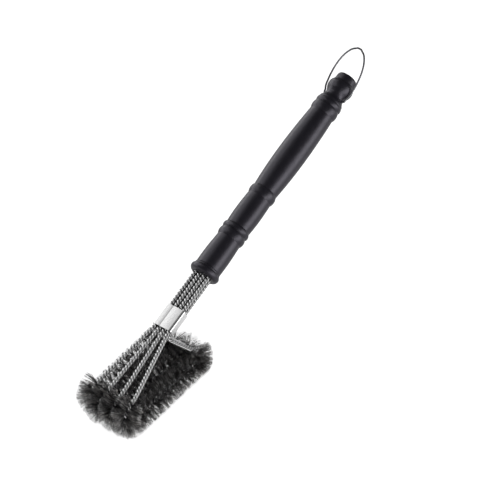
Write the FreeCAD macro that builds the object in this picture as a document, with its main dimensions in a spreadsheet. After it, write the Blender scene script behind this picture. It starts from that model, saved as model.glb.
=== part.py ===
import FreeCAD, Part
import math
import os
import Sketcher

# Grill cleaning brush: four twisted-wire brush loops gathered in a folded sheet clamp,
# a turned grip with a front collar, and a wire hanging loop hinged in the grip's neck.
#
# Handle frame: +X runs up the handle from the mouth of the clamp, +Y is across the brush
# and +Z points away from the bristles. It is tipped up by HandleTilt about Y.
# Level frame: the same origin without the tilt, so that the bristle rows lie along X.
# The finished brush lies level, with its bristle tips on Z = 0 and its handle towards +X.

Vector = FreeCAD.Vector
doc = FreeCAD.newDocument("grill_brush")

size = {
    # the whole brush
    "HandleTilt": 20.3,
    "ShiftX": -112.5,
    # twisted stems: Gap values are spacings between neighbours across the brush
    "WireDia": 2.4,
    "TwistRadius": 1.22,
    "TwistPitch": 8.0,
    "RodGap": 5.5,
    "LayerGap": 5.2,
    "RowGap": 16.3,
    "StemTop": 112.0,
    "FanStart": -0.5,
    "FanEnd": -80.0,
    "FanGap": 14.9,
    "BendStart": -92.0,
    "BendRadius": 11.5,
    "OuterLeftSooner": 6.5,
    "NearCornerX": 35.5,
    "NearRadius": 6.0,
    "PropStart": -6.5,
    "PropRadius": 5.0,
    # bristle rows
    "BristleRadius": 15.7,
    "TipTrim": 0.35,
    "BristleLead": 8.0,
    "NearWrap": 100.0,
    "ChannelRadius": 2.8,
    "RowSlit": 0.2,
    # clamp band
    "SheetThick": 0.7,
    "ClampStart": -1.2,
    "ClampLength": 26.0,
    "ClampInnerWidth": 21.8,
    "ClampInnerHeight": 10.4,
    "ClampCornerRadius": 1.3,
    "SeamOffset": 3.0,
    # front collar; all but CollarStart are measured from its front face
    "CollarStart": 69.7,
    "CollarLength": 9.3,
    "SpigotRadius": 12.2,
    "SpigotEnd": 45.4,
    "SocketWidth": 21.7,
    "SocketHeight": 10.4,
    "SocketCorner": 2.4,
    # grip, also measured from the collar's front face
    "GripStart": 9.45,
    "BoreRadius": 12.25,
    "CavityRadius": 10.8,
    "CavityEnd": 226.0,
    "PivotAt": 238.6,
    "PivotHoleDia": 2.1,
    # hanging loop
    "LoopWireDia": 2.0,
    "LoopAngle": 20.0,
}
sheet = doc.addObject("Spreadsheet::Sheet", "Sizes")
for row, (name, value) in enumerate(size.items(), start=1):
    sheet.set("A%d" % row, name)
    sheet.set("B%d" % row, str(value))
    sheet.setAlias("B%d" % row, name)
doc.recompute()

# name, place across the brush in gaps from the middle, how much sooner the rod turns back
STEMS = [
    ("outer_left", 1.5, size["OuterLeftSooner"]),
    ("inner_left", 0.5, 0.0),
    ("inner_right", -0.5, 0.0),
    ("outer_right", -1.5, 0.0),
]
FAN_RADII = [25.0, 40.0]  # the rod's bends at FanStart and FanEnd
TWIST_SHIFT = 0.9  # radians of twist between neighbouring stems

# ---------------------------------------------------------------- frames
TILT = math.radians(size["HandleTilt"])
COS_TILT, SIN_TILT = math.cos(TILT), math.sin(TILT)


def to_level(point):
    """A point of the handle frame, in the level frame."""
    return Vector(
        point.x * COS_TILT - point.z * SIN_TILT, point.y, point.x * SIN_TILT + point.z * COS_TILT
    )


def to_handle(point):
    """A point of the level frame, in the handle frame."""
    return Vector(
        point.x * COS_TILT + point.z * SIN_TILT, point.y, -point.x * SIN_TILT + point.z * COS_TILT
    )


# The level rows hang from the U bend; both heights are in the level frame.
ROW_Z = to_level(Vector(size["BendStart"], 0, -size["BendRadius"])).z - size["BendRadius"]
FLOOR_Z = ROW_Z - size["BristleRadius"] + size["TipTrim"]
AXIS_Z = -size["LayerGap"] / 2  # the grip's axis runs between the two layers of rods

LIFT = Vector(size["ShiftX"], 0, -FLOOR_Z)
ACROSS = Vector(0, 1, 0)
LEVEL = FreeCAD.Placement(LIFT, FreeCAD.Rotation())
TILTED = FreeCAD.Placement(LIFT, FreeCAD.Rotation(ACROSS, -size["HandleTilt"]))


def on_axis(x, tilt=0.0):
    """A placement on the grip's axis, tipped up by a further tilt in degrees."""
    turn = FreeCAD.Rotation(ACROSS, -tilt)
    return TILTED.multiply(FreeCAD.Placement(Vector(x, 0, AXIS_Z), turn))


# ---------------------------------------------------------------- document helpers
parts = []


def keep(obj, placement):
    """Places a finished piece and lists it for export."""
    obj.Placement = placement
    parts.append(obj)


def add_shape(name, shape, placement):
    obj = doc.addObject("Part::Feature", name)
    obj.Shape = shape
    keep(obj, placement)


def new_sketch(body, name, role):
    sketch = body.newObject("Sketcher::SketchObject", name)
    plane = next(item for item in body.Origin.OriginFeatures if item.Role == role)
    sketch.AttachmentSupport = [(plane, "")]
    sketch.MapMode = "FlatFace"
    return sketch


def add_feature(body, kind, name, sketch, **properties):
    feature = body.newObject("PartDesign::" + kind, name)
    feature.Profile = sketch
    for key, value in properties.items():
        setattr(feature, key, value)
    body.Tip = feature
    return feature


def turn_profile(body, kind, name, sketch):
    """A Revolution or a Groove: a full turn about the sketch's horizontal axis."""
    add_feature(body, kind, name, sketch, ReferenceAxis=(sketch, ["H_Axis"]), Angle=360.0)


def current_volume(body):
    doc.recompute()
    return body.Shape.Volume


def draw(sketch, start, moves):
    """Draws moves end to end: (kind, points), where each begins at the end of the last.

    A line has its end point, an arc its middle and end points, and a spline all the points
    it runs through. A spline is laid down as arcs that keep within 0.01 of it.
    """
    at = Vector(start[0], start[1], 0)
    for kind, *further in moves:
        points = [at] + [Vector(point[0], point[1], 0) for point in further]
        at = points[-1]
        if kind == "line":
            sketch.addGeometry(Part.LineSegment(*points), False)
        elif kind == "arc":
            sketch.addGeometry(Part.Arc(*points), False)
        else:
            curve = Part.BSplineCurve()
            curve.interpolate(points)
            for arc in curve.toBiArcs(0.01):
                sketch.addGeometry(arc, False)


# ---------------------------------------------------------------- stem paths
class Straight:
    def __init__(self, start, end):
        self.start = start
        self.length = (end - start).Length
        self.direction = (end - start).normalize()

    def at(self, distance):
        return self.start + self.direction * distance, self.direction

    def edge(self):
        return Part.makeLine(self.start, self.at(self.length)[0])


class Bend:
    """An arc that leaves start along direction and curves towards inward."""

    def __init__(self, start, direction, inward, radius, turn):
        self.start, self.direction, self.inward = start, direction, inward
        self.radius = radius
        self.length = radius * turn

    def at(self, distance):
        angle = distance / self.radius
        along, inside = math.sin(angle), 1 - math.cos(angle)
        point = (
            self.start
            + self.direction * (self.radius * along)
            + self.inward * (self.radius * inside)
        )
        return point, self.direction * math.cos(angle) + self.inward * math.sin(angle)

    def edge(self):
        middle, end = self.at(self.length / 2)[0], self.at(self.length)[0]
        return Part.Arc(self.start, middle, end).toShape()


class Path:
    """A polyline with round corners: straight and bend pieces in turn."""

    def __init__(self, points, radii):
        self.pieces = []
        at = points[0]
        for before, corner, after, radius in zip(points, points[1:], points[2:], radii):
            arriving = (corner - before).normalize()
            leaving = (after - corner).normalize()
            turn = arriving.getAngle(leaving)
            setback = radius * math.tan(turn / 2)
            inward = (leaving - arriving * arriving.dot(leaving)).normalize()
            bend_start = corner - arriving * setback
            self.pieces.append(Straight(at, bend_start))
            self.pieces.append(Bend(bend_start, arriving, inward, radius, turn))
            at = corner + leaving * setback
        self.pieces.append(Straight(at, points[-1]))
        self.length = sum(piece.length for piece in self.pieces)

    def at(self, distance):
        """The point and the direction at a distance along the path."""
        for piece in self.pieces[:-1]:
            if distance <= piece.length:
                return piece.at(distance)
            distance -= piece.length
        return self.pieces[-1].at(distance)

    def wire(self):
        return Part.Wire([piece.edge() for piece in self.pieces])


def bend_radius(sooner):
    """A rod that turns back sooner takes a wider bend, so that its row lies level."""
    return size["BendRadius"] + sooner * math.tan(TILT / 2)


def stem_path(place, sooner, convert=lambda point: point):
    """One stem's centre line in the handle frame: upper rod, U bend, row, prop, lower rod."""
    rod_y, fan_y, row_y = (place * size[gap] for gap in ("RodGap", "FanGap", "RowGap"))
    points = [
        Vector(size["StemTop"], rod_y, 0),
        Vector(size["FanStart"], rod_y, 0),
        Vector(size["FanEnd"], fan_y, 0),
        Vector(size["BendStart"] - size["BendRadius"] / math.tan(TILT / 2), row_y, 0),
        to_handle(Vector(size["NearCornerX"], row_y, ROW_Z)),
        Vector(size["PropStart"], rod_y, -size["LayerGap"]),
        Vector(size["StemTop"], rod_y, -size["LayerGap"]),
    ]
    radii = FAN_RADII + [bend_radius(sooner), size["NearRadius"], size["PropRadius"]]
    return Path([convert(point) for point in points], radii)


# ---------------------------------------------------------------- twisted wires
RINGS_PER_TURN = 12
POLES_PER_RING = 8


def pole_swell(poles_per_turn):
    """How far outside its circle a uniform cubic B-spline's poles must lie."""
    return 1.0 / (2.0 / 3 + math.cos(2 * math.pi / poles_per_turn) / 3)


def wire_rings(path, phase):
    """Rings of surface poles for one wire that winds left-handed about the path."""
    count = int(path.length / (size["TwistPitch"] / RINGS_PER_TURN))
    step = path.length / count
    swell = pole_swell(RINGS_PER_TURN)
    ring_radius = (size["WireDia"] / 2) * pole_swell(POLES_PER_RING)
    slope = 2 * math.pi * size["TwistRadius"] / size["TwistPitch"]
    forward = path.at(0)[1]
    normal = (Vector(0, 0, 1) - forward * forward.z).normalize()
    rings = []
    for k in range(count + 1):
        centre, forward = path.at(k * step)
        # Carrying the normal along keeps the twist even through the bends.
        normal = (normal - forward * normal.dot(forward)).normalize()
        binormal = forward.cross(normal)
        angle = phase - 2 * math.pi * k * step / size["TwistPitch"]
        out = normal * math.cos(angle) + binormal * math.sin(angle)
        side = binormal * math.cos(angle) - normal * math.sin(angle)
        wire_direction = (forward - side * slope).normalize()
        flat = wire_direction.cross(out)
        ring = []
        for j in range(POLES_PER_RING):
            around = 2 * math.pi * j / POLES_PER_RING
            offset = out * (size["TwistRadius"] + ring_radius * math.cos(around))
            offset = offset + flat * (ring_radius * math.sin(around))
            along = forward * offset.dot(forward)
            ring.append(centre + along + (offset - along) * swell)
        rings.append(ring)
    return rings


def tube_solid(rings):
    """A closed solid round which the rings are the poles of one cubic surface."""
    last = len(rings) - 3  # the last knot along the tube
    surface = Part.BSplineSurface()
    surface.buildFromPolesMultsKnots(
        [list(line) for line in zip(*rings)],
        [1] * (POLES_PER_RING + 1),
        [4] + [1] * (last - 1) + [4],
        list(range(POLES_PER_RING + 1)),
        list(range(last + 1)),
        True,
        False,
        3,
        3,
    )
    # The long surface is split into faces of about one and a half turns.
    cuts = list(range(0, last - 12, 18)) + [last]
    faces = []
    for first_knot, last_knot in zip(cuts, cuts[1:]):
        piece = surface.copy()
        piece.segment(0, POLES_PER_RING, first_knot, last_knot)
        faces.append(piece.toShape().Faces[0])
    for knot in (0, last):
        faces.append(Part.Face(Part.Wire([surface.vIso(knot).toShape()])))
    shell = Part.Shell(faces)
    shell.sewShape()
    solid = Part.Solid(shell)
    solid.fix(1e-6, 1e-6, 1e-6)
    if solid.Volume < 0:  # sewing may leave the shell inside out
        solid.reverse()
    return solid


def build_stem_wires():
    for name, place, sooner in STEMS:
        path = stem_path(place, sooner)
        for letter, phase in (("a", 0.0), ("b", math.pi)):
            rings = wire_rings(path, phase + place * TWIST_SHIFT)
            add_shape("%s_wire_%s" % (name, letter), tube_solid(rings), TILTED)


# ---------------------------------------------------------------- bristle rows
def bent_bristles(centre, axis, outward, radius, degrees):
    """Bristles round a bend: the part of their round section that lies outside the bend's
    axis, turned about that axis. The core is at radius from centre, towards outward."""
    reach = math.sqrt(size["BristleRadius"] ** 2 - radius**2)
    start, end = centre - axis * reach, centre + axis * reach
    middle = centre + outward * (radius + size["BristleRadius"])
    section = Part.Wire([Part.makeLine(end, start), Part.Arc(start, middle, end).toShape()])
    return Part.Face(section).revolve(centre, axis, degrees)


def row_slab(place):
    """The part of the width that belongs to one row; the outer rows are open outwards."""
    y = place * size["RowGap"]
    half = size["RowGap"] / 2 - size["RowSlit"] / 2
    clear = size["BristleRadius"] + 1
    low = y - (clear if place < -1 else half)
    high = y + (clear if place > 1 else half)
    return Part.makeBox(400, high - low, 200, Vector(-250, low, FLOOR_Z))


def bristle_row(place, sooner):
    """The space one row of bristles fills, in the level frame."""
    radius = size["BristleRadius"]
    y = place * size["RowGap"]
    core_bend = bend_radius(sooner)
    path = stem_path(place, sooner, to_level)
    near = path.pieces[-4]
    turn_x = size["BendStart"] + sooner
    far_centre = to_level(Vector(turn_x, y, -core_bend))

    level = Part.makeCylinder(
        radius, near.start.x - far_centre.x, Vector(far_centre.x, y, ROW_Z), Vector(1, 0, 0)
    )
    nose = bent_bristles(
        far_centre, ACROSS, Vector(0, 0, -1), core_bend, 180 - size["HandleTilt"]
    )
    rod = Part.makeCylinder(
        radius, size["BristleLead"], to_level(Vector(turn_x, y, 0)), Vector(COS_TILT, 0, SIN_TILT)
    )
    # The near bend's plane leans in towards the clamp. Its section is drawn from the +axis
    # end, as the bend's own axis sets which way it turns.
    near_centre = near.start + near.inward * near.radius
    axis = near.direction.cross(near.inward)
    heel = bent_bristles(near_centre, axis, near.inward * -1, near.radius, size["NearWrap"])

    shape = level.fuse([nose, rod, heel]).removeSplitter()
    shape = shape.common(row_slab(place))
    first = path.pieces[0]
    ring = Part.Wire([Part.makeCircle(size["ChannelRadius"], first.start, first.direction)])
    shape = shape.cut(path.wire().makePipeShell([ring], True, False))
    # The channel can leave slivers, so only the largest solid is kept.
    return max(shape.Solids, key=lambda solid: solid.Volume)


def build_bristles():
    for name, place, sooner in STEMS:
        add_shape("%s_bristles" % name, bristle_row(place, sooner), LEVEL)


# ---------------------------------------------------------------- clamp band
def left_of(direction):
    return Vector(-direction.y, direction.x, 0)


def strip_side(corners, radius, offset):
    """One side of a bent strip, offset to the left of its middle line, which turns right at
    every corner: an end, then three points for each corner's arc, then the other end."""
    first = (corners[1] - corners[0]).normalize()
    last = (corners[-1] - corners[-2]).normalize()
    points = [corners[0] + left_of(first) * offset]
    for before, corner, after in zip(corners, corners[1:], corners[2:]):
        arriving = (corner - before).normalize()
        leaving = (after - corner).normalize()
        setback = radius * math.tan(arriving.getAngle(leaving) / 2)
        tangent = corner - arriving * setback
        centre = tangent - left_of(arriving) * radius
        start = tangent + left_of(arriving) * offset
        end = corner + leaving * setback + left_of(leaving) * offset
        outward = ((start - centre) + (end - centre)).normalize()
        points += [start, centre + outward * (start - centre).Length, end]
    return points + [corners[-1] + left_of(last) * offset]


def side_moves(points):
    moves = []
    for i in range(1, len(points) - 1, 3):
        moves += [("line", points[i]), ("arc", points[i + 1], points[i + 2])]
    return moves + [("line", points[-1])]


def build_clamp():
    """A sheet strip folded round the rods, its ends lapped on the side away from the bristles."""
    thick = size["SheetThick"]
    half_width = size["ClampInnerWidth"] / 2 + thick / 2
    top = size["ClampInnerHeight"] / 2 + thick / 2
    lap_top = top + thick + 0.05  # the outer flap, just clear of the inner one
    inner_flap_extra = 2.0
    corners = [
        Vector(-size["SeamOffset"] - inner_flap_extra, top, 0),
        Vector(half_width, top, 0),
        Vector(half_width, -top, 0),
        Vector(-half_width, -top, 0),
        Vector(-half_width, lap_top, 0),
        Vector(size["SeamOffset"], lap_top, 0),
    ]
    radius = size["ClampCornerRadius"] + thick / 2
    left = strip_side(corners, radius, thick / 2)
    right = strip_side(corners, radius, -thick / 2)[::-1]

    body = doc.addObject("PartDesign::Body", "clamp_band")
    sketch = new_sketch(body, "clamp_outline", "YZ_Plane")
    moves = side_moves(left) + [("line", right[0])] + side_moves(right) + [("line", left[0])]
    draw(sketch, left[0], moves)
    pad = add_feature(body, "Pad", "clamp_length", sketch)
    pad.setExpression("Length", "Sizes.ClampLength")
    keep(body, on_axis(size["ClampStart"]))


# ---------------------------------------------------------------- front collar
def draw_socket(sketch):
    """A rectangle with round corners, centred on the axis."""
    y, z = size["SocketWidth"] / 2, size["SocketHeight"] / 2
    corner = size["SocketCorner"]
    inset = corner * (1 - math.sqrt(0.5))  # from the sharp corner's sides to the arc's middle
    draw(
        sketch,
        (-y + corner, -z),
        [
            ("line", (y - corner, -z)),
            ("arc", (y - inset, -z + inset), (y, -z + corner)),
            ("line", (y, z - corner)),
            ("arc", (y - inset, z - inset), (y - corner, z)),
            ("line", (-y + corner, z)),
            ("arc", (-y + inset, z - inset), (-y, z - corner)),
            ("line", (-y, -z + corner)),
            ("arc", (-y + inset, -z + inset), (-y + corner, -z)),
        ],
    )


def build_collar():
    """A turned collar and the spigot behind it, with a socket through both for the rods."""
    length, spigot, end = size["CollarLength"], size["SpigotRadius"], size["SpigotEnd"]
    body = doc.addObject("PartDesign::Body", "front_collar")
    sketch = new_sketch(body, "collar_profile", "XY_Plane")
    # points are (distance from the front face, radius)
    draw(
        sketch,
        (0, 0),
        [
            ("line", (0, 12.4)),
            ("arc", (0.9, 15.05), (3.9, 16.6)),
            ("arc", (6.4, 16.1), (7.5, 14.8)),
            ("arc", (8.4, 15.0), (length, 14.6)),
            ("line", (length, spigot)),
            ("line", (end - 1, spigot)),
            ("line", (end, spigot - 0.6)),
            ("line", (end, 0)),
            ("line", (0, 0)),
        ],
    )
    turn_profile(body, "Revolution", "collar_turned", sketch)

    before = current_volume(body)
    sketch = new_sketch(body, "socket_outline", "YZ_Plane")
    draw_socket(sketch)
    socket = add_feature(body, "Pocket", "bundle_socket", sketch, Reversed=True)
    socket.setExpression("Length", "Sizes.SpigotEnd + 5")
    assert current_volume(body) < before - 5000, "the bundle socket cut nothing"
    keep(body, on_axis(size["CollarStart"]))


# ---------------------------------------------------------------- grip
# The grip's outline behind its front edge: (distance from the collar's front, radius).
# The arcs are raised rings, and the splines are the swells between them and the neck.
GRIP_OUTLINE = [
    ("spline", (16, 14.57), (24, 14.6), (33, 14.33), (40, 13.92), (47.0, 13.52)),
    ("arc", (51.9, 15.1), (56.6, 13.83)),
    ("arc", (59.9, 15.15), (63.4, 13.52)),
    (
        "spline",
        (67, 13.83), (74, 14.17), (82, 14.29), (90, 14.14), (97, 13.89), (102.2, 13.54),
    ),
    ("arc", (107.5, 14.94), (112.8, 13.54)),
    (
        "spline",
        (118, 13.91), (126, 14.47), (136, 14.99), (147, 15.35), (159, 15.48), (170, 15.45),
        (181, 15.19), (192, 14.83), (203, 14.32), (210, 13.91), (215.7, 13.57),
    ),
    ("arc", (220.9, 14.82), (226.0, 13.65)),
    ("arc", (228.8, 14.51), (231.4, 13.7)),
    (
        "spline",
        (233.4, 13.3), (235.2, 12.3), (237.0, 11.3), (239.0, 10.8), (241.2, 10.95),
        (243.4, 11.9), (245.4, 13.0), (247.8, 13.75), (250.2, 14.0), (252.4, 13.8),
        (254.4, 13.05), (256.0, 12.0), (257.4, 11.5),
    ),
    ("line", (262.0, 11.3)),
    ("arc", (264.45, 10.2), (265.45, 7.8)),
    ("line", (265.9, 0)),
]


def turn_grip(body):
    start = size["GripStart"]
    sketch = new_sketch(body, "grip_profile", "XY_Plane")
    front_edge = [
        ("line", (start, 14.01)),
        ("arc", (start + 0.15, 14.37), (start + 0.55, 14.47)),
    ]
    draw(sketch, (start, 0), front_edge + GRIP_OUTLINE + [("line", (start, 0))])
    turn_profile(body, "Revolution", "grip_turned", sketch)


def hollow_grip(body):
    """The bore for the spigot, and the narrower cavity behind it with its tapered end."""
    bore, cavity, end = size["BoreRadius"], size["CavityRadius"], size["CavityEnd"]
    open_end = size["GripStart"] - 2
    corners = [
        (open_end, 0),
        (open_end, bore),
        (46.2, bore),
        (47.4, cavity),
        (end, cavity),
        (end + 5, 6.0),
        (end + 6.5, 0),
    ]
    points = [Vector(x, y, 0) for x, y in corners]
    before = current_volume(body)
    sketch = new_sketch(body, "cavity_profile", "XY_Plane")
    sides = [
        sketch.addGeometry(Part.LineSegment(start, stop), False)
        for start, stop in zip(points, points[1:] + points[:1])
    ]
    for side, following in zip(sides, sides[1:] + sides[:1]):
        sketch.addConstraint(Sketcher.Constraint("Coincident", side, 2, following, 1))
    turn_profile(body, "Groove", "grip_cavity", sketch)
    assert current_volume(body) < before - 40000, "the grip's cavity cut nothing"


def drill_pivot(body):
    """The hole across the grip's neck for the ends of the hanging loop."""
    pivot, diameter = size["PivotAt"], size["PivotHoleDia"]
    before = current_volume(body)
    sketch = new_sketch(body, "pivot_outline", "XZ_Plane")
    outline = Part.Circle(Vector(pivot, 0, 0), Vector(0, 0, 1), diameter / 2)
    circle = sketch.addGeometry(outline, False)
    index = sketch.addConstraint(Sketcher.Constraint("Diameter", circle, diameter))
    sketch.setExpression("Constraints[%d]" % index, "Sizes.PivotHoleDia")
    sketch.addConstraint(Sketcher.Constraint("PointOnObject", circle, 3, -1))
    index = sketch.addConstraint(Sketcher.Constraint("DistanceX", -1, 1, circle, 3, pivot))
    sketch.setExpression("Constraints[%d]" % index, "Sizes.PivotAt")
    add_feature(body, "Pocket", "pivot_hole", sketch, Midplane=True, Length=60.0)
    assert current_volume(body) < before - 40, "the pivot hole cut nothing"


def build_grip():
    body = doc.addObject("PartDesign::Body", "grip")
    turn_grip(body)
    hollow_grip(body)
    drill_pivot(body)
    keep(body, on_axis(size["CollarStart"]))


# ---------------------------------------------------------------- hanging loop
# The loop lies in its own XY plane: the pivot is the origin, its length runs along +X.
LOOP_END_Y = 5.6  # where each pivot end stops inside the grip
LOOP_TURN_Y = 10.95  # where each pivot end starts to bend
LOOP_BEND = 2.0
# One side (x, y) from after the pivot bend to just before the far end.
LOOP_SIDE = [
    (6.8, 14.5), (12.5, 15.4), (19.5, 15.85), (27.0, 15.75), (33.0, 15.2),
    (39.0, 14.15), (45.5, 12.1), (50.8, 9.3), (54.4, 6.1), (56.4, 2.95),
]
LOOP_FAR_X = 57.0


def pivot_bend(side):
    """The bend's three points, from the pivot end outwards; side is 1 or -1 across."""
    inset = LOOP_BEND * (1 - math.sqrt(0.5))
    return [
        Vector(0, side * LOOP_TURN_Y, 0),
        Vector(inset, side * (LOOP_TURN_Y + LOOP_BEND - inset), 0),
        Vector(LOOP_BEND, side * (LOOP_TURN_Y + LOOP_BEND), 0),
    ]


def build_loop():
    bend, mirrored_bend = pivot_bend(1), pivot_bend(-1)[::-1]
    curve = Part.BSplineCurve()
    curve.interpolate(
        Points=[bend[-1]] + [Vector(x, y, 0) for x, y in LOOP_SIDE] + [Vector(LOOP_FAR_X, 0, 0)],
        InitialTangent=Vector(1, 0, 0),
        FinalTangent=Vector(0, -1, 0),
    )
    mirrored = Part.BSplineCurve()
    mirrored.buildFromPolesMultsKnots(
        [Vector(pole.x, -pole.y, 0) for pole in reversed(curve.getPoles())],
        list(reversed(curve.getMultiplicities())),
        [curve.LastParameter - knot for knot in reversed(curve.getKnots())],
        False,
        curve.Degree,
    )
    end = Vector(0, LOOP_END_Y, 0)
    spine = Part.Wire(
        [
            Part.makeLine(end, bend[0]),
            Part.Arc(*bend).toShape(),
            curve.toShape(),
            mirrored.toShape(),
            Part.Arc(*mirrored_bend).toShape(),
            Part.makeLine(mirrored_bend[-1], Vector(0, -LOOP_END_Y, 0)),
        ]
    )
    section = Part.Wire([Part.makeCircle(size["LoopWireDia"] / 2, end, ACROSS)])
    loop = spine.makePipeShell([section], True, False).Solids[0]
    pivot = size["CollarStart"] + size["PivotAt"]
    add_shape("hang_loop", loop, on_axis(pivot, size["LoopAngle"]))


# ---------------------------------------------------------------- check and write
def check_document():
    bad = [obj.Name for obj in doc.Objects if "Invalid" in obj.State or "Error" in obj.State]
    for part in parts:
        shape = part.Shape
        if shape.isNull() or not shape.isValid() or len(shape.Solids) != 1:
            bad.append(part.Label + " shape")
    if bad:
        raise SystemExit("failed: " + ", ".join(bad))


build_stem_wires()
build_bristles()
build_clamp()
build_collar()
build_grip()
build_loop()
doc.recompute()
check_document()
os.makedirs("parts", exist_ok=True)
for part in parts:
    part.Shape.exportStep("parts/%s.step" % part.Label)
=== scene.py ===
"""Wire brush: four rows of steel bristles on bent wire stems, with a black plastic grip.

The bristle rows run level along X and stand on the floor (z = 0), side by side along Y. The
left rows lie towards +Y. The handle slopes up towards +X. Stems and bristles are worked out
in mm and turned into metres when a mesh is made. Stage, lights and camera are in metres.
"""

import math

import bpy
import numpy as np
from mathutils import Matrix, Vector


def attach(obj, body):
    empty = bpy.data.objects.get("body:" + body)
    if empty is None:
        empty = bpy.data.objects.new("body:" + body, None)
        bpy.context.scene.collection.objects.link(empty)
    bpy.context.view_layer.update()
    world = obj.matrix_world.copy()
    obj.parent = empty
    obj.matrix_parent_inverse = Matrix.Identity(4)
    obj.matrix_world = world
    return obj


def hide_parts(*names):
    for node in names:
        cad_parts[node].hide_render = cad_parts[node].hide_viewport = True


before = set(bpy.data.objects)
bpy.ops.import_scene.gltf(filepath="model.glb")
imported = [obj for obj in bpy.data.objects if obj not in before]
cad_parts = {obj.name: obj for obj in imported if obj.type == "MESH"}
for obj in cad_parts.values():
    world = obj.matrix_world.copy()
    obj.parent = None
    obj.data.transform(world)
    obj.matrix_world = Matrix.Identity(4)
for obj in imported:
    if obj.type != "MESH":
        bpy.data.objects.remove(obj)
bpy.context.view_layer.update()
scene = bpy.context.scene
MM = 0.001

# ---------------------------------------------------------------- stem centre lines (mm)
# In the handle frame X runs along the handle; the level frame is turned about Y by TILT.
TILT = math.radians(20.3)
COS_TILT, SIN_TILT = math.cos(TILT), math.sin(TILT)
SHIFT_X = -112.5  # from the level frame to the world

# distance between neighbouring stems along Y
ROD_GAP = 5.5  # inside the handle
FAN_GAP = 14.9  # where the rods have fanned out
ROW_GAP = 16.3  # along the bristle rows
LAYER_GAP = 5.2  # from the upper rods down to the returning ends

ROD_END_X = 112.0
FAN_START_X = -0.5
FAN_END_X = -80.0
RETURN_X = -6.5  # where the returning ends join the handle
ROW_END_X = 35.5  # corner of the near bend, in the level frame

# The far bend turns a stem back under the handle; the near bend ends its bristle row.
FAR_BEND_X, FAR_BEND_R = -92.0, 11.5
NEAR_BEND_R = 6.0
FAN_START_R, FAN_END_R, RETURN_R = 25.0, 40.0, 5.0
PATH_STEP = 0.25

BRISTLE_R = 15.7
TIP_PRESS = 0.35  # how far a full-length bristle would reach below the floor
TIP_CUT_Z = 0.15  # height at which the bristles are cut


def to_level(p):
    return np.array([p[0] * COS_TILT - p[2] * SIN_TILT, p[1], p[0] * SIN_TILT + p[2] * COS_TILT])


def to_handle(p):
    return np.array([p[0] * COS_TILT + p[2] * SIN_TILT, p[1], -p[0] * SIN_TILT + p[2] * COS_TILT])


CORE_Z = to_level((FAR_BEND_X, 0, -FAR_BEND_R))[2] - FAR_BEND_R
FLOOR_Z = CORE_Z - BRISTLE_R + TIP_PRESS


def to_world(p):
    """Handle frame to world, in mm."""
    level = to_level(p)
    return np.array([level[0] + SHIFT_X, level[1], level[2] - FLOOR_Z])


def unit(vector):
    return vector / np.linalg.norm(vector)


def stem_points(row):
    """Corners of one stem; row is its place across the brush, in gaps from the middle."""
    points = [
        (ROD_END_X, row * ROD_GAP, 0),
        (FAN_START_X, row * ROD_GAP, 0),
        (FAN_END_X, row * FAN_GAP, 0),
        (FAR_BEND_X - FAR_BEND_R / math.tan(TILT / 2), row * ROW_GAP, 0),
        to_handle((ROW_END_X, row * ROW_GAP, CORE_Z)),
        (RETURN_X, row * ROD_GAP, -LAYER_GAP),
        (ROD_END_X, row * ROD_GAP, -LAYER_GAP),
    ]
    return [to_world(p) for p in points]


def sample_path(points, corner_radii):
    """Places, tangents and running length of a round-cornered polyline, and each arc's span."""
    pieces = []  # length, start, heading, inward direction, radius (None on a straight)
    start = points[0]
    for before, corner, after, radius in zip(points, points[1:], points[2:], corner_radii):
        heading, next_heading = unit(corner - before), unit(after - corner)
        turn = math.acos(float(heading @ next_heading))
        setback = radius * math.tan(turn / 2)
        arc_start = corner - heading * setback
        inward = unit(next_heading - heading * (heading @ next_heading))
        pieces.append((np.linalg.norm(arc_start - start), start, heading, None, None))
        pieces.append((radius * turn, arc_start, heading, inward, radius))
        start = corner + next_heading * setback
    rest = points[-1] - start
    pieces.append((np.linalg.norm(rest), start, unit(rest), None, None))

    places, tangents, lengths, arcs = [], [], [], []
    travelled = 0.0
    for length, start, heading, inward, radius in pieces:
        count = max(2, int(length / PATH_STEP))
        if radius is not None:
            arcs.append((travelled, travelled + length))
        for i in range(count):
            along = length * i / count
            if radius is None:
                places.append(start + heading * along)
                tangents.append(heading)
            else:
                angle = along / radius
                sin, cos = math.sin(angle), math.cos(angle)
                places.append(start + heading * (radius * sin) + inward * (radius * (1 - cos)))
                tangents.append(heading * cos + inward * sin)
            lengths.append(travelled + along)
        travelled += length
    return np.array(places), np.array(tangents), np.array(lengths), arcs


def carry_normals(tangents):
    """Normals carried along the path without twisting, starting upright."""
    normal = np.array([0, 0, 1.0]) - tangents[0] * tangents[0][2]
    normals = []
    for tangent in tangents:
        normal = unit(normal - tangent * (normal @ tangent))
        normals.append(normal)
    return np.array(normals)


# ---------------------------------------------------------------- materials
def set_inputs(node, values):
    for name, value in values.items():
        node.inputs[name].default_value = value


def new_material(name, inputs):
    material = bpy.data.materials.new(name)
    material.use_nodes = True
    tree = material.node_tree
    shader = tree.nodes["Principled BSDF"]
    set_inputs(shader, inputs)
    return material, tree, shader


def noise(tree, scale, detail=4.0, roughness=0.6):
    """Noise over world position."""
    node = tree.nodes.new("ShaderNodeTexNoise")
    set_inputs(node, {"Scale": scale, "Detail": detail, "Roughness": roughness})
    geometry = tree.nodes.new("ShaderNodeNewGeometry")
    tree.links.new(geometry.outputs["Position"], node.inputs["Vector"])
    return node.outputs["Fac"]


def ramp(tree, factor, stops):
    """Colour ramp; each stop is a position and a grey level or an RGB colour."""
    node = tree.nodes.new("ShaderNodeValToRGB")
    elements = node.color_ramp.elements
    while len(elements) < len(stops):
        elements.new(0.5)
    for element, (position, tone) in zip(elements, stops):
        element.position = position
        element.color = (*tone, 1.0) if isinstance(tone, tuple) else (tone, tone, tone, 1.0)
    tree.links.new(factor, node.inputs["Fac"])
    return node.outputs["Color"]


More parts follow.
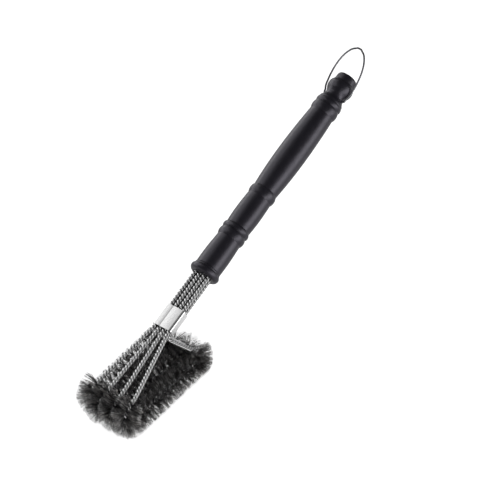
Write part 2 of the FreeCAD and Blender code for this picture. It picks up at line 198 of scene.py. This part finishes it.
def bump(tree, height, strength, distance):
    node = tree.nodes.new("ShaderNodeBump")
    set_inputs(node, {"Strength": strength, "Distance": distance})
    tree.links.new(height, node.inputs["Height"])
    return node.outputs["Normal"]


def multiply(tree, colour, mask):
    node = tree.nodes.new("ShaderNodeVectorMath")
    node.operation = "MULTIPLY"
    tree.links.new(colour, node.inputs[0])
    tree.links.new(mask, node.inputs[1])
    return node.outputs[0]


def geometry_y(tree, output):
    """Y part of the surface's Normal or Position."""
    geometry = tree.nodes.new("ShaderNodeNewGeometry")
    split = tree.nodes.new("ShaderNodeSeparateXYZ")
    tree.links.new(geometry.outputs[output], split.inputs[0])
    return split.outputs["Y"]


def paint_groove_shade(tree, colour, reach):
    """Painted shade: darkens a colour where the surface is crowded in, in the twist and in the gaps
    between the rods.
    """
    occlusion = tree.nodes.new("ShaderNodeAmbientOcclusion")
    occlusion.samples = 6
    set_inputs(occlusion, {"Distance": reach})
    return multiply(tree, colour, ramp(tree, occlusion.outputs["AO"], [(0.42, 0.010), (0.72, 1.0)]))


def paint_flank_shade(tree, colour):
    """Painted shade: the rods' flanks, which face sideways along Y, are darkened, and their tops stay
    bright.
    """
    sideways = tree.nodes.new("ShaderNodeMath")
    sideways.operation = "ABSOLUTE"
    tree.links.new(geometry_y(tree, "Normal"), sideways.inputs[0])
    return multiply(tree, colour, ramp(tree, sideways.outputs[0], [(0.56, 1.0), (0.86, 0.16)]))


def wire_material():
    material, tree, shader = new_material("drawn_steel_wire", {"Metallic": 0.7})
    bright = ramp(tree, noise(tree, scale=900.0), [(0.3, 0.88), (0.7, 1.0)])
    # painted shade: the rods' flanks and the grooves in the twist and between the rods are darkened
    # in the colour
    colour = paint_groove_shade(tree, paint_flank_shade(tree, bright), reach=0.0034)
    tree.links.new(colour, shader.inputs["Base Color"])
    grain = noise(tree, scale=2200.0, detail=2.0)
    tree.links.new(ramp(tree, grain, [(0.3, 0.20), (0.75, 0.34)]), shader.inputs["Roughness"])
    tree.links.new(bump(tree, grain, strength=0.25, distance=0.00005), shader.inputs["Normal"])
    return material


def bristle_material():
    material, tree, shader = new_material("bristle_steel", {"Metallic": 0.9})
    tone = tree.nodes.new("ShaderNodeAttribute")
    tone.attribute_name = "tone"
    tree.links.new(tone.outputs["Color"], shader.inputs["Base Color"])
    grain = noise(tree, scale=1500.0, detail=2.0)
    tree.links.new(ramp(tree, grain, [(0.2, 0.38), (0.8, 0.55)]), shader.inputs["Roughness"])
    return material


SHEET_HALF_WIDTH = 0.0118  # m
# position across the sheet from -Y to +Y, grey: painted reflections and shade, with a dark band near
# the -Y edge and painted shade just beside the seam where the two folded halves meet
SHEET_PAINTED_LIGHT_BANDS = [
    (0.0, 0.97), (0.05, 0.97), (0.075, 0.22), (0.12, 0.18), (0.15, 0.62), (0.32, 0.78),
    (0.48, 0.94), (0.60, 0.98), (0.62, 0.28), (0.66, 0.52), (0.78, 0.88), (1.0, 0.98),
]


def sheet_material():
    material, tree, shader = new_material("polished_sheet", {"Metallic": 0.8})
    across = tree.nodes.new("ShaderNodeMapRange")
    set_inputs(across, {"From Min": -SHEET_HALF_WIDTH, "From Max": SHEET_HALF_WIDTH})
    tree.links.new(geometry_y(tree, "Position"), across.inputs["Value"])
    # painted reflections and shade: the base colour is banded by position across Y
    tree.links.new(ramp(tree, across.outputs[0], SHEET_PAINTED_LIGHT_BANDS), shader.inputs["Base Color"])
    smears = noise(tree, scale=220.0, detail=3.0)
    tree.links.new(ramp(tree, smears, [(0.3, 0.14), (0.75, 0.24)]), shader.inputs["Roughness"])
    waves = noise(tree, scale=60.0, detail=2.0)
    tree.links.new(bump(tree, waves, strength=0.12, distance=0.0006), shader.inputs["Normal"])
    return material


def plastic_material():
    specular = {"Specular IOR Level": 0.6, "Specular Tint": (1.0, 0.96, 1.09, 1.0)}
    material, tree, shader = new_material("satin_black_plastic", specular)
    blacks = [(0.3, (0.0066, 0.0058, 0.0090)), (0.7, (0.0098, 0.0090, 0.0134))]
    colour = ramp(tree, noise(tree, scale=90.0, detail=5.0), blacks)
    tree.links.new(colour, shader.inputs["Base Color"])
    satin = noise(tree, scale=260.0, detail=6.0, roughness=0.7)
    tree.links.new(ramp(tree, satin, [(0.3, 0.33), (0.7, 0.43)]), shader.inputs["Roughness"])
    grain = noise(tree, scale=3500.0, detail=2.0)
    tree.links.new(bump(tree, grain, strength=0.12, distance=0.00004), shader.inputs["Normal"])
    return material


def chrome_material():
    inputs = {"Metallic": 1.0, "Base Color": (0.17, 0.17, 0.18, 1)}
    material, tree, shader = new_material("bright_wire", inputs)
    smears = noise(tree, scale=700.0, detail=3.0)
    tree.links.new(ramp(tree, smears, [(0.3, 0.24), (0.75, 0.34)]), shader.inputs["Roughness"])
    return material


wire_steel = wire_material()
bristle_steel = bristle_material()
sheet = sheet_material()
plastic = plastic_material()
chrome = chrome_material()

PART_MATERIALS = {
    "grip": plastic,
    "front_collar": plastic,
    "clamp_band": sheet,
    "hang_loop": chrome,
}
for part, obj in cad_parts.items():
    material = wire_steel if "_wire_" in part else PART_MATERIALS.get(part)
    if material:
        obj.data.materials.clear()
        obj.data.materials.append(material)

# ---------------------------------------------------------------- bristles (mm)
HELIX_PITCH = 16.0  # stem length for one turn of the bristles
WIRES_PER_MM = 15.0  # on a straight stem
WIRE_THICKNESS = 0.20
TUFT_SIZE = 3  # wires standing together
STATIONS = 9  # points along a wire, from tip to tip through the stem
DENSITY_STEP = 0.1
NEAR_BLEND = 6.0  # stem length before the near bend over which the bristles change
FIRST_SEED = 11

# name, place across the brush, how much sooner the stem turns back, length bristled before
# the far bend, packing, degrees bristled round the near bend, how much longer they are there
STEMS = [
    ("outer_left", 1.5, 6.5, 1.0, 1.0, 50, 1.0),
    ("inner_left", 0.5, 0.0, 5.0, 1.0, 100, 1.12),
    ("inner_right", -0.5, 0.0, 5.0, 1.0, 112, 1.14),
    ("outer_right", -1.5, 0.0, 5.0, 1.45, 112, 1.05),
]


def wire_mesh(name, paths, radius, tones, shade):
    """Many thin three-sided wires in one mesh; paths is (wires, stations, 3).

    tones holds one colour for each wire, and shade one factor for each station.
    """
    wires, stations, _ = paths.shape
    along = np.gradient(paths, axis=1)
    along /= np.linalg.norm(along, axis=2, keepdims=True)
    reference = np.zeros_like(along)
    reference[..., 2] = 1.0
    reference[np.abs(along[..., 2]) > 0.9] = (1.0, 0, 0)
    side = np.cross(along, reference)
    side /= np.linalg.norm(side, axis=2, keepdims=True)
    other = np.cross(along, side)
    angles = [2 * math.pi * i / 3 for i in range(3)]
    edges = [paths + (side * math.cos(a) + other * math.sin(a)) * radius for a in angles]
    verts = np.stack(edges, axis=2).reshape(-1, 3) * MM  # by wire, station, corner

    ring = (np.arange(wires)[:, None, None] * stations + np.arange(stations - 1)[:, None]) * 3
    corner = np.arange(3)
    after = (corner + 1) % 3
    quads = [ring + corner, ring + after, ring + 3 + after, ring + 3 + corner]
    quads = np.stack(quads, axis=-1).reshape(-1, 4)
    first = np.arange(wires)[:, None] * stations * 3
    last = first + (stations - 1) * 3
    caps = np.concatenate([first + np.array([[2, 1, 0]]), last + np.array([[0, 1, 2]])])
    loops = np.concatenate([quads.reshape(-1), caps.reshape(-1)]).astype(np.int32)
    sizes = np.concatenate([np.full(len(quads), 4), np.full(len(caps), 3)])
    starts = np.concatenate([[0], np.cumsum(sizes)[:-1]]).astype(np.int32)

    mesh = bpy.data.meshes.new(name)
    mesh.vertices.add(len(verts))
    mesh.vertices.foreach_set("co", verts.astype(np.float32).reshape(-1))
    mesh.loops.add(len(loops))
    mesh.loops.foreach_set("vertex_index", loops)
    mesh.polygons.add(len(sizes))
    mesh.polygons.foreach_set("loop_start", starts)
    mesh.polygons.foreach_set("use_smooth", np.ones(len(sizes), dtype=bool))
    mesh.update(calc_edges=True)
    mesh.validate()

    colours = np.repeat(tones[:, None, None, :] * shade[None, :, None, None], 3, axis=2)
    colours = colours.reshape(-1, 3)
    rgba = np.concatenate([colours, np.ones((len(colours), 1))], axis=1).astype(np.float32)
    layer = mesh.color_attributes.new("tone", "FLOAT_COLOR", "POINT")
    layer.data.foreach_set("color", rgba.reshape(-1))
    obj = bpy.data.objects.new(name, mesh)
    scene.collection.objects.link(obj)
    mesh.materials.append(bristle_steel)
    return obj


def cut_at_floor(paths):
    """Shortens the wire halves that point down, so that their tips end at TIP_CUT_Z."""
    middle = STATIONS // 2
    core = paths[:, middle : middle + 1]
    core_z = core[:, 0, 2]
    for tip, half in ((0, slice(0, middle)), (-1, slice(middle + 1, None))):
        tip_z = paths[:, tip, 2]
        drop = np.maximum(core_z - tip_z, 1e-6)
        keep = np.where(tip_z < TIP_CUT_Z, (core_z - TIP_CUT_Z) / drop, 1.0)
        paths[:, half] = core + (paths[:, half] - core) * keep[:, None, None]


def row_of_bristles(stem, row, sooner, lead, packing, wrap, longer, seed):
    rng = np.random.default_rng(seed)
    far_radius = FAR_BEND_R + sooner * math.tan(TILT / 2)
    radii = [FAN_START_R, FAN_END_R, far_radius, NEAR_BEND_R, RETURN_R]
    places, tangents, lengths, arcs = sample_path(stem_points(row), radii)
    normals = carry_normals(tangents)
    (far_start, far_end), (near_start, _) = arcs[2:4]
    blend_start = near_start - NEAR_BLEND

    # round the bends the wires fan out, so that more of them are packed there
    grid = np.arange(far_start - lead, near_start + NEAR_BEND_R * math.radians(wrap), DENSITY_STEP)
    density = np.full(len(grid), WIRES_PER_MM * packing)
    density[(grid > far_start - 2) & (grid < far_end)] *= 1.5
    density[grid > near_start - 3] *= 3.2
    total = np.cumsum(density) * DENSITY_STEP
    count = int(total[-1])

    # the wires stand in small tufts of one slope and one shade
    tufts = count // TUFT_SIZE
    of_tuft = rng.integers(0, tufts, count)
    rank = (of_tuft + rng.random(count)) / tufts * total[-1]
    s = np.interp(rank, total, grid) + rng.normal(0, 0.12, count)  # place along the stem

    def scatter(tuft, wire):
        """Normal scatter with one deviation between tufts and one between wires."""
        return rng.normal(0, tuft, tufts)[of_tuft] + rng.normal(0, wire, count)

    def at_wires(values):
        return np.stack([np.interp(s, lengths, values[:, i]) for i in range(3)], axis=1)

    centre, tangent, normal = at_wires(places), at_wires(tangents), at_wires(normals)
    binormal = at_wires(np.cross(tangents, normals))
    spread = np.interp(s, [blend_start, near_start], [0.42, 0.8])
    helix = -2 * math.pi * s / HELIX_PITCH + scatter(tuft=1, wire=0.22) * spread

    fractions = np.linspace(-1, 1, STATIONS)
    paths = np.zeros((count, STATIONS, 3))
    for sign in (-1, 1):
        angle = helix + rng.normal(0, 0.10, tufts)[of_tuft]
        outward = (normal * np.cos(angle)[:, None] + binormal * np.sin(angle)[:, None]) * sign
        side = np.cross(tangent, outward)
        # a few wires (12 %) are 5 % shorter
        uneven = 1.0 + rng.normal(0, 0.022, count) - 0.05 * (rng.random(count) < 0.12)
        length = BRISTLE_R * uneven
        length *= np.interp(s, [blend_start, near_start + 1], [1.0, longer])
        lean = scatter(tuft=0.06, wire=0.025)[:, None]
        curl_along = scatter(tuft=0.04, wire=0.015)[:, None]
        curl_side = scatter(tuft=0.05, wire=0.015)[:, None]
        phase = rng.random(count) * 2 * math.pi
        for i, fraction in enumerate(fractions):
            if (fraction < 0) != (sign < 0):
                continue
            x = abs(fraction)
            reach = (length * x)[:, None]
            crimp = 0.10 * np.sin(phase + 9.0 * x)[:, None] * min(1.0, 2.5 * x)
            paths[:, i] = (
                centre
                + outward * reach
                + tangent * (reach * (lean * (0.4 + 0.6 * x) + curl_along * x) + crimp)
                + side * (reach * curl_side * x + crimp)
            )
    cut_at_floor(paths)

    # mostly dark tufts with a few bright ones, some slightly warm; brighter round the bends
    base = 0.034 + 0.40 * rng.random(tufts)[of_tuft] ** 3.0 + 0.06 * rng.random(count)
    warm = rng.random(tufts)[of_tuft] * 0.05
    tones = np.stack([base * (1.0 + warm), base, base * (1.0 - 0.6 * warm)], axis=1)
    stops = [far_end - 2, far_end + 10, blend_start, near_start]
    tones *= np.interp(s, stops, [2.1, 1.0, 1.0, 1.4])[:, None]
    # painted shade: the wires are darker towards the core, where they stand deep among the others,
    # and lighter towards the tips
    shade = 0.30 + 0.70 * np.abs(fractions) ** 0.9
    obj = wire_mesh(stem + "_bristles_wires", paths, WIRE_THICKNESS / 2, tones, shade)
    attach(obj, "brush")
    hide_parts(stem + "_bristles")


for i, stem in enumerate(STEMS):
    row_of_bristles(*stem, seed=FIRST_SEED + i)


# ---------------------------------------------------------------- stage, camera and light (m)
def stage_object(name, data):
    obj = bpy.data.objects.new(name, data)
    scene.collection.objects.link(obj)
    return obj


def floor_material():
    """White sheet that glows more to the camera, so that it shows only a faint shadow."""
    inputs = {
        "Base Color": (0.93, 0.93, 0.93, 1),
        "Roughness": 0.9,
        "Specular IOR Level": 0.1,
    }
    material, tree, shader = new_material("studio_floor", inputs)
    glow = tree.nodes.new("ShaderNodeEmission")
    rays = tree.nodes.new("ShaderNodeLightPath")
    strength = tree.nodes.new("ShaderNodeMapRange")
    set_inputs(strength, {"To Min": 0.20, "To Max": 0.80})
    tree.links.new(rays.outputs["Is Camera Ray"], strength.inputs["Value"])
    tree.links.new(strength.outputs[0], glow.inputs["Strength"])
    add = tree.nodes.new("ShaderNodeAddShader")
    tree.links.new(shader.outputs[0], add.inputs[0])
    tree.links.new(glow.outputs[0], add.inputs[1])
    tree.links.new(add.outputs[0], tree.nodes["Material Output"].inputs["Surface"])
    return material


FLOOR_HALF = 6
floor_corners = [(x * FLOOR_HALF, y * FLOOR_HALF, 0) for x, y in ((-1, -1), (1, -1), (1, 1), (-1, 1))]
floor = bpy.data.meshes.new("studio_floor")
floor.from_pydata(floor_corners, [], [(0, 1, 2, 3)])
floor.materials.append(floor_material())
stage_object("studio_floor", floor)

# the camera looks from the -X, -Y side, from above
azimuth, elevation, roll = (math.radians(angle) for angle in (-53.978, 45.174, 1.195))
CAMERA_DISTANCE = 6.0
AIM = Vector((-0.0008, 0, 0.08498))
AIM_RIGHT, AIM_UP = 0.01126, 0.01556  # shift of the aim within the view
back = Vector((
    math.sin(azimuth) * math.cos(elevation),
    -math.cos(azimuth) * math.cos(elevation),
    math.sin(elevation),
))
level_right = Vector((math.cos(azimuth), math.sin(azimuth), 0))
level_up = back.cross(level_right)
right = math.cos(roll) * level_right + math.sin(roll) * level_up
up = -math.sin(roll) * level_right + math.cos(roll) * level_up
target = AIM + right * AIM_RIGHT + up * AIM_UP
lens = bpy.data.cameras.new("camera")
lens.sensor_width = 36.0
lens.lens = 437.88
lens.clip_end = 100.0
camera = stage_object("camera", lens)
rows = [(r, u, b, t + b * CAMERA_DISTANCE) for r, u, b, t in zip(right, up, back, target)]
camera.matrix_world = Matrix((*rows, (0, 0, 0, 1)))
scene.camera = camera


def area_light(name, place, look, size, power):
    light = bpy.data.lights.new(name, "AREA")
    light.shape = "RECTANGLE"
    light.size, light.size_y = size
    light.energy = power
    obj = stage_object(name, light)
    obj.location = place
    obj.rotation_mode = "QUATERNION"
    obj.rotation_quaternion = (Vector(look) - Vector(place)).to_track_quat("-Z", "Y")


# a large panel behind the brush (+Y) with a low strip under it, a low strip in front, a small
# card over the clamp, and a dark gap overhead: name, place, point looked at, size, watts
LIGHTS = [
    ("back_soft", (0.1, 2.3, 1.7), (0, 0, 0.08), (3.4, 2.4), 28),
    ("back_low", (0.1, 2.0, 0.36), (0.1, 0, 0.36), (3.4, 0.7), 16),
    ("front_strip", (-0.2, -1.3, 0.38), (-0.2, 0, 0.38), (2.6, 0.80), 19),
    ("clamp_card", (-0.18, 0.36, 0.80), (-0.105, 0, 0.075), (0.24, 0.34), 0.25),
]
for light in LIGHTS:
    area_light(*light)

world = bpy.data.worlds.new("studio")
scene.world = world
world.use_nodes = True
set_inputs(world.node_tree.nodes["Background"], {"Color": (0.97, 0.98, 1.0, 1), "Strength": 0.09})

scene.view_settings.view_transform = "Standard"
scene.view_settings.look = "None"
scene.view_settings.exposure = 0.0
